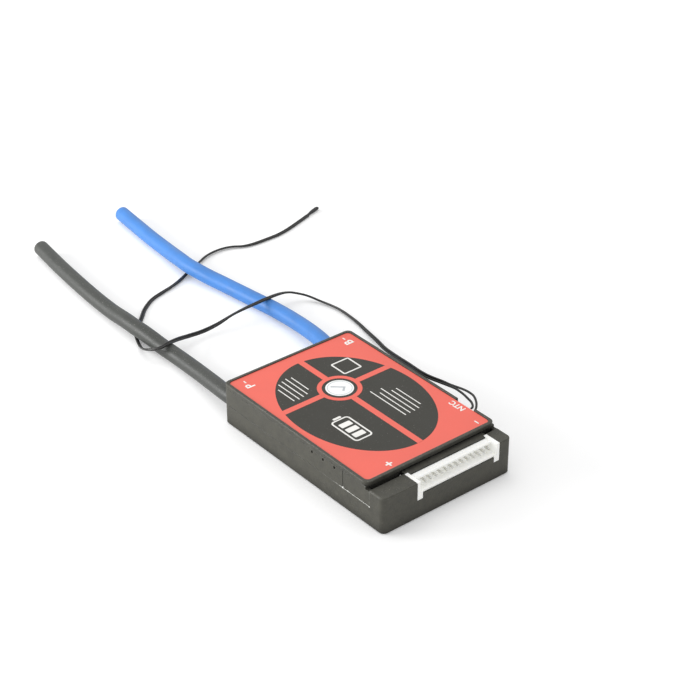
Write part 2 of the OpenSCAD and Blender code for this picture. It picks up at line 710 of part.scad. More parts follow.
module filter_capacitors() color([0.66, 0.52, 0.36])
    for (i = [0:header_ways - 1])
        translate([small_x(i, header_ways, 2), capacitor_y, board_top + 0.45])
            cube([2, 1.25, 0.9], center = true);

// Solder between each lead's copper and the underside of the board
module solder_joints() color([0.7, 0.71, 0.72])
    for (x = [load_x, battery_x])
        difference() {
            translate([x, lead_start - 1, lead_z])
                rotate([90, 0, 0])
                    linear_extrude(strip_l - 2)
                        polygon([
                            [-core_d / 2 - 1.2, core_d / 2], [core_d / 2 + 1.2, core_d / 2],
                            [core_d / 2, 0], [-core_d / 2, 0]
                        ]);
            translate([x, lead_start + cut, lead_z])
                rotate([90, 0, 0]) cylinder(h = strip_l + 2 * cut, d = core_d);
        }

// Stripped copper of a power lead, inside the case
module lead_core(x) {
    translate([x, lead_start, lead_z]) rotate([90, 0, 0]) cylinder(h = strip_l, d = core_d);
}

module load_lead() color([0.11, 0.12, 0.12]) swept_cord(load_route, lead_d, lead_d, 12);

module load_lead_core() color([0.8, 0.6, 0.45]) lead_core(load_x);

module battery_lead() color([0.16, 0.4, 0.85]) swept_cord(battery_route, lead_d, lead_d, 12);

module battery_lead_core() color([0.8, 0.6, 0.45]) lead_core(battery_x);

// The two wires of the thermistor lead, where they lie apart behind the plug
module ntc_tails() color([0.1, 0.1, 0.1]) {
    swept_cord(front_tail, ntc_wire_d, ntc_wire_d, 8);
    swept_cord(rear_tail, ntc_wire_d, ntc_wire_d, 8);
}

// The bonded pair
module ntc_lead() color([0.1, 0.1, 0.1]) swept_cord(ntc_route, 2 * ntc_wire_d, ntc_wire_d, 8);

// The dipped tip that holds the thermistor
module thermistor_tip() color([0.12, 0.12, 0.12])
    swept_cord(tip_route, 2 * ntc_wire_d, bead_d, 8, tip_sizes);

lower_case();
case_frame();
top_cover();
label();
inspection_sticker();
seam_glue();
circuit_board();
balance_header();
header_pins();
ntc_socket();
ntc_socket_pins();
ntc_plug();
mosfet_bodies();
mosfet_tabs();
thermal_pad();
heat_spreader();
current_shunts();
battery_strap();
load_strap();
balance_resistors();
resistor_caps();
balance_transistors();
monitor_chip();
monitor_chip_legs();
driver_chip();
filter_capacitors();
solder_joints();
load_lead();
load_lead_core();
battery_lead();
battery_lead_core();
ntc_tails();
ntc_lead();
thermistor_tip();
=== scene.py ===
# %% [markdown]
# A battery management board sits in a flat moulded case. Its label is printed, its power
# leads are silicone, and a thin twin wire carries the thermistor. The case, the header and
# the socket are already solids in a fixed frame, so this file makes what a solid can't say:
# the leads as smooth tubes, the ink on the label, and the finish of every surface.
# We load the frame first.

import bmesh
import bpy
import numpy as np
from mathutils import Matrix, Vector


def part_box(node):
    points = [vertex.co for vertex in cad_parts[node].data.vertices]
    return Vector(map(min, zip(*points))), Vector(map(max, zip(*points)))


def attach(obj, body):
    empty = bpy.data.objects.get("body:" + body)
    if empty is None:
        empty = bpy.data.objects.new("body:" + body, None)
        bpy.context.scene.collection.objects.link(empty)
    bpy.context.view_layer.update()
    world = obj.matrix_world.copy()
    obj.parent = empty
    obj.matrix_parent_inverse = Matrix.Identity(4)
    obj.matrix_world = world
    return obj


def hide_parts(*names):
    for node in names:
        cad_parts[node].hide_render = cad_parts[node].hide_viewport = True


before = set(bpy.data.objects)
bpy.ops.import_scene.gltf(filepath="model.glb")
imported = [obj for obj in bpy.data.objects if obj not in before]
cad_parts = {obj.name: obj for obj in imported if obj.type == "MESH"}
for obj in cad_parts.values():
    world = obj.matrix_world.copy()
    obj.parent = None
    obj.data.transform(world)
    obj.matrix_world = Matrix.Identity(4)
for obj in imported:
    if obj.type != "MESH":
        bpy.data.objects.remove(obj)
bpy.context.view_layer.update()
MM = 0.001

# %% [markdown]
# The camera stands in front of the case and to its left, and looks down on it. A long lens
# from three quarters of a metre keeps the far leads nearly as wide as the near ones. The
# place is worked out from two angles, a target and a distance, because those are the
# numbers one turns by hand.

# %% Camera
AZIMUTH = np.radians(-39.44)
ELEVATION = np.radians(31.74)
TARGET = np.array([38.2, 54.9, 0.0]) * MM
DISTANCE = 0.742

back = np.array([
    np.sin(AZIMUTH) * np.cos(ELEVATION),
    -np.cos(AZIMUTH) * np.cos(ELEVATION),
    np.sin(ELEVATION),
])
camera_data = bpy.data.cameras.new("studio_camera")
camera_data.lens = 96.2
camera_data.sensor_width = 36.0
camera_data.clip_start = 0.01
camera = bpy.data.objects.new("studio_camera", camera_data)
bpy.context.scene.collection.objects.link(camera)
camera.location = TARGET + back * DISTANCE
camera.rotation_euler = (np.pi / 2 - ELEVATION, 0.0, AZIMUTH)
bpy.context.scene.camera = camera
print("camera stands at", [round(v, 4) for v in camera.location])

# %% [markdown]
# Every new piece is a grid of points worked out as a whole array and then handed to the
# mesh in one call. One helper does the handing over. Another joins the grid's rows into
# quads, round each row as well, and fills the two end rows, so that a tube is a closed skin.

# %% Helpers: a closed tube from a grid of points
def new_piece(name, points, faces, smooth=True):
    """Put arrays of points and faces into a mesh object that rides on the case."""
    mesh = bpy.data.meshes.new(name)
    mesh.from_pydata(np.asarray(points).tolist(), [], [list(map(int, f)) for f in faces])
    mesh.polygons.foreach_set("use_smooth", np.full(len(mesh.polygons), smooth))
    mesh.update()
    piece = bpy.data.objects.new(name, mesh)
    bpy.context.scene.collection.objects.link(piece)
    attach(piece, "root")
    return piece


def tube_faces(rows, columns):
    """Quads between neighbouring rows, wrapped round, and one polygon for each end."""
    i, j = np.meshgrid(np.arange(rows - 1), np.arange(columns), indexing="ij")
    k = (j + 1) % columns
    quads = np.stack([i * columns + j, i * columns + k,
                      (i + 1) * columns + k, (i + 1) * columns + j], axis=-1)
    faces = quads.reshape(-1, 4).tolist()
    faces.append(list(range(columns))[::-1])
    faces.append(list(range((rows - 1) * columns, rows * columns)))
    return faces


# %% [markdown]
# A lead lies where its route says, but a route of a few points has corners. A real lead
# bends evenly, so the points become a smooth curve: between two points each coordinate
# follows a cubic that leaves with the slope of the neighbours (a Catmull-Rom spline). It is
# then walked at even steps, so the rings of the tube are evenly spaced.

# %% Helper: an even smooth path
def smooth_path(points, step):
    """Cubic through each pair of points, p0..p3 being the pair and their neighbours:
    half of 2*p1 + (p2-p0)*t + (2*p0-5*p1+4*p2-p3)*t^2 + (3*p1-p0-3*p2+p3)*t^3,
    then resampled so that neighbours are one step apart."""
    p = np.asarray(points, float)
    p = np.vstack([2 * p[0] - p[1], p, 2 * p[-1] - p[-2]])
    t = np.linspace(0, 1, 24, endpoint=False)[None, :, None]
    a, b, c, d = (p[k:len(p) - 3 + k, None, :] for k in range(4))
    fine = 0.5 * (2 * b + (c - a) * t + (2 * a - 5 * b + 4 * c - d) * t**2
                  + (3 * b - a - 3 * c + d) * t**3)
    fine = np.vstack([fine.reshape(-1, 3), p[-2]])
    along = np.concatenate([[0], np.cumsum(np.linalg.norm(np.diff(fine, axis=0), axis=1))])
    count = max(int(round(along[-1] / step)), 2) + 1
    even = np.linspace(0, along[-1], count)
    return np.stack([np.interp(even, along, fine[:, k]) for k in range(3)], axis=1)


def path_length(path):
    """Sum of the distances between neighbouring points."""
    return float(np.linalg.norm(np.diff(path, axis=0), axis=1).sum())


def side_and_up(path):
    """Directions square to the path: side is level, up completes the pair."""
    ahead = np.gradient(path, axis=0)
    ahead /= np.linalg.norm(ahead, axis=1)[:, None]
    side = np.cross(ahead, [0.0, 0.0, 1.0])
    side /= np.linalg.norm(side, axis=1)[:, None]
    return ahead, side, np.cross(side, ahead)


def rings(side, up, columns, wide=1.0, high=1.0):
    """At each point a ring up*high*cos a + side*wide*sin a. From up to side is
    anticlockwise for one who looks back along the path, so the faces look outward."""
    a = np.linspace(0, 2 * np.pi, columns, endpoint=False)[None, :, None]
    return up[:, None, :] * high * np.cos(a) + side[:, None, :] * wide * np.sin(a)


# %% [markdown]
# A silicone power lead is a round, slightly soft tube. A curve with a bevel would give the
# same skin, but the tube is carried along its path by hand here, because the cut end needs
# its own rings: a softly rounded lip, a flat ring of silicone, and a shallow hollow where
# the strands are cut back. Each of the last rings is two numbers: the share of the radius
# that is left, and a step along the path in radii.

# %% Helper: a round lead with a cut end
def lead_tube(name, path, radius, columns=40):
    """A ring times the radius at each point of the path. The end adds rings whose radius
    shrinks while they step along the path and back again."""
    ahead, side, up = side_and_up(path)
    lip = [(0.97, 0.02), (0.9, 0.06), (0.68, 0.06), (0.66, -0.1), (0.0, -0.1)]
    centre = np.vstack([np.repeat(path[:1], 2, axis=0), path,
                        [path[-1] + ahead[-1] * radius * b for _, b in lip]])
    grow = np.concatenate([[1e-3, 0.96], np.ones(len(path)),
                           [max(g, 1e-3) for g, _ in lip]])
    which = np.concatenate([[0, 0], np.arange(len(path)), np.full(len(lip), len(path) - 1)])
    ring = rings(side[which], up[which], columns)
    points = centre[:, None, :] + ring * radius * grow[:, None, None]
    return new_piece(name, points.reshape(-1, 3), tube_faces(len(centre), columns))


LEAD_R = 3.25
LOAD_ROUTE = [
    (-23.6, 41.1, 6.2), (-23.6, 45.7, 6.2), (-23.6, 51.7, 6.1), (-23, 58, 5.6),
    (-21.5, 71, 4.3), (-20.6, 84, 3.45), (-20.5, 93, 3.25), (-20.7, 100, 3.35),
    (-21, 106, 3.85), (-21.3, 112, 4.25), (-21.5, 117.5, 4.3), (-21.4, 123, 4.2),
    (-21.2, 129, 3.75), (-21, 135.5, 3.35), (-20.4, 148.5, 3.25), (-19.2, 163, 3.25),
    (-17.4, 180.5, 3.25), (-14.8, 200.2, 3.25),
]
BATTERY_ROUTE = [
    (24.9, 41.1, 6.2), (24.9, 45.7, 6.2), (25.7, 51.7, 6.1), (28.3, 61, 5.75),
    (30.6, 76, 4.35), (31.1, 93, 3.35), (29.4, 108, 3.25), (27.2, 125, 3.3),
    (25.6, 133, 3.75), (24.6, 139, 4.2), (24.1, 145.5, 4.3), (24.5, 152, 4.2),
    (25.2, 158, 3.75), (25.9, 164, 3.35), (26.8, 176, 3.25), (28, 188, 3.25),
    (29.8, 204.7, 3.25),
]
leads = {}
for name, route, node in (("load_sheath", LOAD_ROUTE, "load_lead"),
                          ("battery_sheath", BATTERY_ROUTE, "battery_lead")):
    path = smooth_path(np.array(route) * MM, 1.2 * MM)
    piece = lead_tube(name, path, LEAD_R * MM)
    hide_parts(node)
    leads[name] = piece
    print(name, "is", round(path_length(path) * 1000), "mm long")

# %% [markdown]
# The thermistor's lead is a bonded pair: two thin wires side by side, whose section is a
# figure of eight. Near the plug the pair is split and each wire bows its own way. One
# number along the lead, how far the two wires stand from the middle, describes both, so
# each wire is the middle path pushed sideways by that number. A roll in degrees at each
# point of the route turns the pair on its edge here and flat there, as such a pair does
# when it comes off a reel. On its edge it needs more height, so the path is lifted there.
# The two insulations are melted together, so each wire stands a little less than its own
# radius from the middle. Every fourth point of a tail and of its wire is enough to draw one
# smooth line through both.

# %% The thermistor pair
WIRE_R = 0.45
BONDED = 0.97
PAIR_ROUTE = [
    (39.9, -3, 11), (40, -0.3, 10.6), (39.8, 4.7, 9.85), (39.7, 9.9, 9), (40.3, 15.8, 8.1),
    (42.1, 23.5, 6.6), (43.5, 30.3, 5.3), (44.9, 36.6, 4.05), (46.3, 42.9, 3.05),
    (47.9, 47.6, 2.3), (49.5, 52.4, 1.65), (51.3, 59, 0.95), (53, 66.1, 0.5),
    (54, 73.8, 0.45), (54.3, 81, 0.45), (53.5, 87, 0.45), (52.2, 91.2, 0.95),
    (49.3, 96.4, 2.3), (44.7, 99.1, 4.1), (41.5, 99.7, 5.2), (36.4, 98.9, 6.6),
    (29.3, 98.3, 7.15), (24.8, 98, 7.15), (19.5, 98.5, 6.55), (13, 99.3, 5.25),
    (6.3, 99.4, 3.75), (-1, 99.5, 3.05), (-8, 99, 3.85), (-14.6, 97.2, 5.65),
    (-20.7, 95.1, 7.15), (-24.7, 94.6, 6.85), (-27, 97.2, 5.65), (-27.5, 100.5, 4.25),
    (-26.7, 105, 2.25), (-24.5, 111, 0.6), (-21.5, 117.5, 0.45), (-17.5, 122, 0.45),
    (-12, 127.5, 0.45), (-7, 132.5, 0.45), (-0.5, 137, 0.45), (5.5, 139, 0.45),
    (12, 140.7, 0.45), (18, 143, 0.45), (24, 146, 0.45), (33.5, 150.5, 0.45),
    (39, 153, 0.45), (45.5, 154, 0.45), (51.5, 153, 0.45), (56, 150.2, 0.45),
    (61, 149, 0.45), (68, 148.8, 0.45), (75, 149, 0.45), (82, 150.5, 0.45),
    (90, 153, 0.45), (96, 155, 0.45),
]
PAIR_ROLL = [
    0, 20, 43, 50, 48, 47, 47, 46, 43, 32, 10, -5, -18, -28, -34, -37, -36, -31, -26, -22,
    -8, 0, 0, -12, -32, 5, 40, 47, 45, 5, 0, 0, -15, -42, -46, -41, -20, -18, -8, 0, 0,
    20, 14, 25, 45, 41, 34, 29, 25, 6, 5, 0, 0, 0, 0,
]
FRONT_TAIL = [
    (31.1, -23.2, 12.725), (32.8, -23, 12.725), (34.8, -21.5, 12.75), (37.4, -19.2, 12.9),
    (38.8, -16.8, 13), (40.1, -13.9, 12.9), (40.4, -11.2, 12.6), (40.6, -8.2, 12.1),
    (40.6, -5.6, 11.6), (40.35, -3, 11),
]
REAR_TAIL = [
    (31.1, -20.7, 12.725), (32.8, -20.6, 12.725), (34.6, -20.1, 12.75), (36, -18.3, 12.8),
    (36.9, -15.6, 12.7), (37.9, -12.1, 12.5), (38.7, -8.3, 12.1), (39.25, -5.5, 11.6),
    (39.45, -3, 11),
]


def wire_tubes(name, paths, radius, columns=16):
    """One closed round tube for each path, all in one mesh."""
    points, faces, base = [], [], 0
    for path in paths:
        _, side, up = side_and_up(path)
        points.append((path[:, None, :] + rings(side, up, columns) * radius).reshape(-1, 3))
        faces += [[v + base for v in f] for f in tube_faces(len(path), columns)]
        base += len(path) * columns
    return new_piece(name, np.vstack(points), faces)


def walked(points):
    """Distance walked up to each point."""
    steps = np.linalg.norm(np.diff(points, axis=0), axis=1)
    return np.concatenate([[0], np.cumsum(steps)])


PAIR_STEP = 0.8 * MM
pair_mid = smooth_path(np.array(PAIR_ROUTE) * MM, PAIR_STEP)
knots = walked(np.array(PAIR_ROUTE) * MM)
along = walked(pair_mid)
roll = np.radians(np.interp(along / along[-1], knots / knots[-1], PAIR_ROLL))
lifted = WIRE_R * MM * (1 + BONDED * np.abs(np.sin(roll)))
pair_mid[:, 2] = np.maximum(pair_mid[:, 2], lifted)
_, pair_side, pair_up = side_and_up(pair_mid)
apart = pair_side * np.cos(roll)[:, None] + pair_up * np.sin(roll)[:, None]
wires, tail_mid, even = [], 0, np.linspace(0, 1, 30)
for sign, route in ((1, FRONT_TAIL), (-1, REAR_TAIL)):
    tail = smooth_path(np.array(route) * MM, PAIR_STEP)
    own = pair_mid + apart * sign * (WIRE_R * BONDED) * MM
    wires.append(smooth_path(np.vstack([tail[:-3:4], own[2::4], own[-1:]]), PAIR_STEP))
    way = walked(tail) / walked(tail)[-1]
    tail_mid = tail_mid + np.stack(
        [np.interp(even, way, tail[:, k]) for k in range(3)], axis=1) / 2
pair = wire_tubes("thermistor_pair", wires, WIRE_R * MM)

# %% [markdown]
# The thermistor itself is dipped in black resin, so the pair swells into a small blunt
# tip. The tip is an ellipse carried along a short path; its size follows a smooth rise and
# then a quarter circle, which closes the tip in a round nose.

# %% The dipped tip
def dipped_tip(name, path, width, height, columns=24):
    """Ellipse at each point. Its scale rises from 0.62 to 1 over the first 60% of the way
    (smoothstep, 3t^2-2t^3) and ends as the root of 1-s^2 over the last 18%."""
    _, side, up = side_and_up(path)
    way = np.linspace(0, 1, len(path))
    rise = np.clip(way / 0.6, 0, 1)
    scale = 0.62 + 0.38 * (3 * rise**2 - 2 * rise**3)
    nose = np.clip((way - 0.82) / 0.18, 0, 1)
    scale = scale * np.sqrt(np.maximum(1 - nose**2, 1e-4))
    ring = rings(side, up, columns, width / 2, height / 2)
    points = path[:, None, :] + ring * scale[:, None, None]
    return new_piece(name, points.reshape(-1, 3), tube_faces(len(path), columns))


TIP_ROUTE = [(95.4, 154.8, 0.55), (99, 156, 0.75), (102, 157, 0.8), (104.1, 157.7, 0.75)]
tip = dipped_tip("dipped_tip", smooth_path(np.array(TIP_ROUTE) * MM, 0.2 * MM),
                 2.0 * MM, 1.5 * MM)
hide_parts("thermistor_tip")
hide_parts("ntc_tails", "ntc_lead")

# %% [markdown]
# The label is a printed film. Its ink lies on it as flat shapes a few hundredths of a
# millimetre thick: a dark oval panel, coral bands over it, and white marks. A material
# could paint them, but a thin slab keeps a crisp edge from any distance, and it is a shape
# that can be measured. Each slab is an outline, worked out by formula, raised by its
# thickness; a ring is two outlines with the same number of points. Each colour of ink lies
# a layer higher than the one below it, so no two faces share a plane.

# %% Helper: slabs of ink
LABEL_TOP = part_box("label")[1][2] / MM
INK = 0.02


def slab(outline, layer):
    """Points and faces of an outline, anticlockwise from above, raised by one layer."""
    outline = np.asarray(outline, float)
    n = len(outline)
    z = LABEL_TOP + layer * INK
    low = np.column_stack([outline, np.full(n, z)])
    high = np.column_stack([outline, np.full(n, z + INK)])
    return np.vstack([low, high]), tube_faces(2, n)


def ring_slab(outer, inner, layer):
    """The same between two outlines of n points: rows go outer low, outer high, inner
    high, inner low, and round again, so every face is a quad between two rows."""
    n = len(outer)
    z = LABEL_TOP + layer * INK
    rows = [np.column_stack([line, np.full(n, height)]) for line, height in
            ((outer, z), (outer, z + INK), (inner, z + INK), (inner, z))]
    r, j = np.meshgrid(np.arange(4), np.arange(n), indexing="ij")
    r2, k = (r + 1) % 4, (j + 1) % n
    quads = np.stack([r * n + j, r * n + k, r2 * n + k, r2 * n + j], axis=-1)
    return np.vstack(rows), quads.reshape(-1, 4).tolist()


def ink_piece(name, slabs):
    """Several slabs joined into one mesh."""
    points, faces, base = [], [], 0
    for own_points, own_faces in slabs:
        points.append(own_points)
        faces += [[v + base for v in f] for f in own_faces]
        base += len(own_points)
    return new_piece(name, np.vstack(points) * MM, faces, smooth=False)


def oval(cx, cy, rx, ry, count=160):
    """x = cx + rx cos a, y = cy + ry sin a."""
    a = np.linspace(0, 2 * np.pi, count, endpoint=False)
    return np.column_stack([cx + rx * np.cos(a), cy + ry * np.sin(a)])


def bar(cx, cy, width, length):
    """A rectangle by its middle, its size along X and its size along Y."""
    x, y = width / 2, length / 2
    return np.array([(cx - x, cy - y), (cx + x, cy - y), (cx + x, cy + y), (cx - x, cy + y)])


def soft_bar(cx, cy, width, length, r, steps=6):
    """A rectangle whose corners are quarter circles of radius r."""
    a = np.linspace(0, np.pi / 2, steps)
    corners = []
    for turn, (sx, sy) in enumerate(((1, 1), (-1, 1), (-1, -1), (1, -1))):
        angle = a + turn * np.pi / 2
        corners.append(np.column_stack([cx + sx * (width / 2 - r) + r * np.cos(angle),
                                        cy + sy * (length / 2 - r) + r * np.sin(angle)]))
    return np.vstack(corners)


print("label top at", round(LABEL_TOP, 2), "mm")

# %% [markdown]
# The panel fills most of the label. A ring in the label's own colour frames the round
# sticker, and four straight bands run from it to the panel's edge. Where a band meets the
# oval it has to end on its curve, so each band's end points are worked out from the
# ellipse: at a distance d from the middle line, the edge lies at the root of 1-(d/r)^2.

# %% Panel, ring and bands
PANEL = (-0.3, 4.7, 26.0, 34.1)
seal_x = (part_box("inspection_sticker")[0][0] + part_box("inspection_sticker")[1][0]) / 2 / MM
seal_y = (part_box("inspection_sticker")[0][1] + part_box("inspection_sticker")[1][1]) / 2 / MM
SEAL_RING = (6.6, 8.4)
BAND = 2.6


def panel_x(y):
    """Half width of the oval at this y."""
    return PANEL[2] * np.sqrt(1 - ((y - PANEL[1]) / PANEL[3])**2)


def panel_y(x):
    """Half length of the oval at this x."""
    return PANEL[3] * np.sqrt(1 - ((x - PANEL[0]) / PANEL[2])**2)


across = np.linspace(-BAND / 2, BAND / 2, 9)
near = np.sqrt((sum(SEAL_RING) / 2)**2 - across**2)
bands = []
for sign in (1, -1):
    side_end = np.column_stack([PANEL[0] + sign * panel_x(seal_y + across), seal_y + across])
    side_start = np.column_stack([seal_x + sign * near, seal_y + across])
    bands.append(np.vstack([side_end, side_start[::-1]])[::sign])
    long_end = np.column_stack([seal_x + across, PANEL[1] + sign * panel_y(seal_x + across)])
    long_start = np.column_stack([seal_x + across, seal_y + sign * near])
    bands.append(np.vstack([long_end, long_start[::-1]])[::-sign])
ink = {"ink_panel": ink_piece("ink_panel", [slab(oval(*PANEL), 0)])}
ink["ink_bands"] = ink_piece("ink_bands", [slab(band, 1) for band in bands] + [
    ring_slab(oval(seal_x, seal_y, SEAL_RING[1], SEAL_RING[1], 96),
              oval(seal_x, seal_y, SEAL_RING[0], SEAL_RING[0], 96), 2)])
print("panel", PANEL[2] * 2, "by", PANEL[3] * 2, "mm, sticker ring at", seal_x, seal_y)

# %% [markdown]
# White ink carries what a fitter needs: which lead is which, which end of the header is
# plus, and where the thermistor goes. Letters come from a text object. It is turned into
# a mesh while it still stands at the origin; then its points are taken as an array, scaled
# to the wanted height and turned a quarter, because this label reads from left to right
# along the case. Doubled points along the letters' edges are merged, so they are closed.

# %% Helper: letters as a mesh
def letters(name, word, height, cx, cy, layer=1, weight=0.025):
    """The word runs along +Y with its tops towards -X: (x, y) of the type becomes
    (cx - y, cy + x), each scaled so that a capital is as high as given."""
    outline = bpy.data.curves.new(name + "_type", "FONT")
    outline.body = word
    outline.extrude = 0.05
    outline.offset = weight
    outline.resolution_u = 5
    carrier = bpy.data.objects.new(name + "_type", outline)
    mesh = bpy.data.meshes.new_from_object(carrier)
    bpy.data.objects.remove(carrier)
    shape = bmesh.new()
    shape.from_mesh(mesh)
    bmesh.ops.remove_doubles(shape, verts=shape.verts, dist=1e-5)
    bmesh.ops.recalc_face_normals(shape, faces=shape.faces)
    points = np.array([v.co[:] for v in shape.verts])
    faces = [[v.index for v in f.verts] for f in shape.faces]
    shape.free()
    bpy.data.meshes.remove(mesh)
    low, high = points.min(axis=0), points.max(axis=0)
    flat = (points - (low + high) / 2) * height / (high[1] - low[1])
    z = LABEL_TOP + (layer + (points[:, 2] > 0)) * INK
    placed = np.column_stack([cx - flat[:, 1], cy + flat[:, 0], z])
    return placed, faces


# %% [markdown]
# The marks stand at the label's corners, each beside what it names. Minus signs are plain
# bars, and the plus is one outline of twelve corners, so that its arms don't overlap.

# %% Terminal marks
STROKE = 0.55
marks = [
    letters("load_mark", "P", 3.6, -23.5, 37.9), letters("battery_mark", "B", 3.6, 24.0, 38.5),
    letters("socket_mark", "NTC", 2.6, 26.3, -20.5),
    slab(bar(-23.5, 41.0, STROKE, 1.5), 1), slab(bar(24.2, 41.5, STROKE, 1.5), 1),
    slab(bar(24.6, -32.8, STROKE, 2.2), 1),
]
PLUS_AT, ARM, HALF_STROKE = (-16.3, -32.5), 1.4, 0.36
quarter = np.array([(HALF_STROKE, -ARM), (HALF_STROKE, -HALF_STROKE), (ARM, -HALF_STROKE)])
turn = np.array([(0, 1), (-1, 0)])
plus = np.vstack([quarter @ np.linalg.matrix_power(turn, k) for k in range(4)])
marks.append(slab(plus + PLUS_AT, 1))
ink["ink_marks"] = ink_piece("ink_marks", marks)
print("terminal marks:", len(ink["ink_marks"].data.polygons), "faces")

# %% [markdown]
# The panel of such a board holds its ratings. This one is a blank form: ruled lines where
# a rating would be written, an empty square for a stamp, and a plain battery pictogram
# with three charge bars. All are bars and frames, so a few lists of numbers make them. The
# round sticker carries a tick and a thin ring; its own top is a few layers higher.

# %% The blank form
RULE = 0.42
rules = [(-17.2, 24.2, 9.6), (-15.0, 25.4, 12.6), (-12.8, 26.0, 13.0), (-10.6, 26.6, 13.2),
         (-8.4, 27.4, 10.4),
         (8.2, -3.2, 20.0), (10.4, -4.6, 17.0), (12.6, -3.6, 19.0), (14.8, -5.2, 15.2),
         (17.0, -4.4, 13.6)]
form = [slab(bar(x, y, RULE, length), 1) for x, y, length in rules]
FRAME_LINE = 1.3
frames = [(12.6, 26.0, 8.6, 8.6, 0.8), (-12.4, -7.6, 8.2, 15.0, 1.6)]
for x, y, width, length, r in frames:
    form.append(ring_slab(soft_bar(x, y, width, length, r),
                          soft_bar(x, y, width - FRAME_LINE, length - FRAME_LINE, r - 0.6), 1))
CHARGE_BAR, POLE = (5.0, 2.6, 0.4), (3.6, 1.1, 0.4)
form += [slab(soft_bar(-12.4, y, *CHARGE_BAR), 1) for y in (-11.6, -7.9, -4.2)]
form.append(slab(soft_bar(-12.4, 0.8, *POLE), 1))
ink["ink_form"] = ink_piece("ink_form", form)

STICKER_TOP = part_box("inspection_sticker")[1][2] / MM
on_sticker = int(round((STICKER_TOP - LABEL_TOP) / INK))
THIN_RING = (4.7, 4.45)
tick = np.array([(0.1, -2.7), (2.3, -0.6), (-1.9, 3.0), (-2.4, 2.4), (1.1, -0.6), (-0.5, -2.1)])
seal = [slab(tick + (seal_x, seal_y), on_sticker),
        ring_slab(*(oval(seal_x, seal_y, r, r, 64) for r in THIN_RING), on_sticker)]
ink["ink_seal"] = ink_piece("ink_seal", seal)
print("form:", len(form), "slabs; sticker ink on layer", on_sticker)

# %% [markdown]
# White glue was pressed into the joint behind the front step, and a little of it came out
# at the foot of the snap's slit. A bead of glue is a lumpy ball flattened on the wall, so
# it is a sphere's grid whose radius wobbles by a product of sines, and the wall hides its
# inner half. A bead is given by its distance from the slit, its height over the joint and
# half its own height, all in millimetres.

# %% Beads of glue
def glue_bead(cx, cy, cz, reach, high, seed):
    """Sphere (sin u cos v, sin u sin v, cos u), its radius times one plus 0.18 times
    sin(3v+seed) sin(2u+seed), squeezed to `reach` outwards and stretched to `high` upwards."""
    u = np.linspace(0.02, np.pi - 0.02, 12)[:, None]
    v = np.linspace(0, 2 * np.pi, 16, endpoint=False)[None, :]
    wobble = 1 + 0.18 * np.sin(3 * v + seed) * np.sin(2 * u + seed)
    x = cx + reach * wobble * np.sin(u) * np.cos(v)
    y = cy + 0.24 * wobble * np.sin(u) * np.sin(v)
    z = cz - high * wobble * np.cos(u) * np.ones_like(v)
    return np.stack([x, y, z], axis=-1).reshape(-1, 3), tube_faces(12, 16)


case_left, joint_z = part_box("case_frame")[0][0] / MM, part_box("case_frame")[0][2] / MM
SLIT_Y, BEAD_REACH = -24.25, 0.1
beads = [glue_bead(case_left, SLIT_Y + dy, joint_z + dz, BEAD_REACH, high, seed)
         for seed, (dy, dz, high) in enumerate(
             [(0.0, 0.35, 0.5), (0.35, 0.05, 0.22), (-2.7, 0.25, 0.2), (-14.1, 0.0, 0.3),
              (-3.4, 0.05, 0.14), (-9.0, 0.08, 0.12)])]
glue_drops = ink_piece("glue_drops", beads)
print("glue beads:", len(beads))

# %% [markdown]
# Every finish below is a Principled shader fed by a few shared effects. An effect that
# more than one finish uses is a node group: its recipe is written once, and each material
# sets its own numbers. Two helpers keep the node code short: one adds a node and sets its
# options, and one starts a group with its sockets.

# %% Helper: nodes and groups
def add(tree, kind, links=None, **options):
    """Add a node, set its options, and link or fill its inputs by name or number."""
    node = tree.nodes.new("ShaderNode" + kind)
    for key, value in options.items():
        setattr(node, key, value)
    for key, value in (links or {}).items():
        if hasattr(value, "is_linked"):
            tree.links.new(value, node.inputs[key])
        else:
            node.inputs[key].default_value = value
    return node


def start_group(name, inputs, outputs):
    """An empty group with number inputs, and outputs given as name: kind of socket."""
    group = bpy.data.node_groups.new(name, "ShaderNodeTree")
    for label, value in inputs.items():
        socket = group.interface.new_socket(label, in_out="INPUT",
                                            socket_type="NodeSocketFloat")
        socket.default_value = value
    for label, kind in outputs.items():
        group.interface.new_socket(label, in_out="OUTPUT", socket_type="NodeSocket" + kind)
    return group, group.nodes.new("NodeGroupInput"), group.nodes.new("NodeGroupOutput")


def scaled_place(group, size):
    """Object coordinates divided by a size in millimetres."""
    place = add(group, "TexCoord").outputs["Object"]
    per_mm = add(group, "Math", {0: 1000.0, 1: size}, operation="DIVIDE").outputs[0]
    return add(group, "VectorMath", {0: place, "Scale": per_mm},
               operation="SCALE").outputs["Vector"]


def noise(group, place, detail, rough=0.55):
    """Value of smooth noise at a place, about 0.25 to 0.75."""
    return add(group, "TexNoise", {"Vector": place, "Scale": 1.0, "Detail": detail,
                                   "Roughness": rough}).outputs["Fac"]


def stretch(group, value, low, high):
    """Maps low..high to 0..1 and clips."""
    return add(group, "MapRange", {"Value": value, "From Min": low, "From Max": high},
               clamp=True).outputs["Result"]
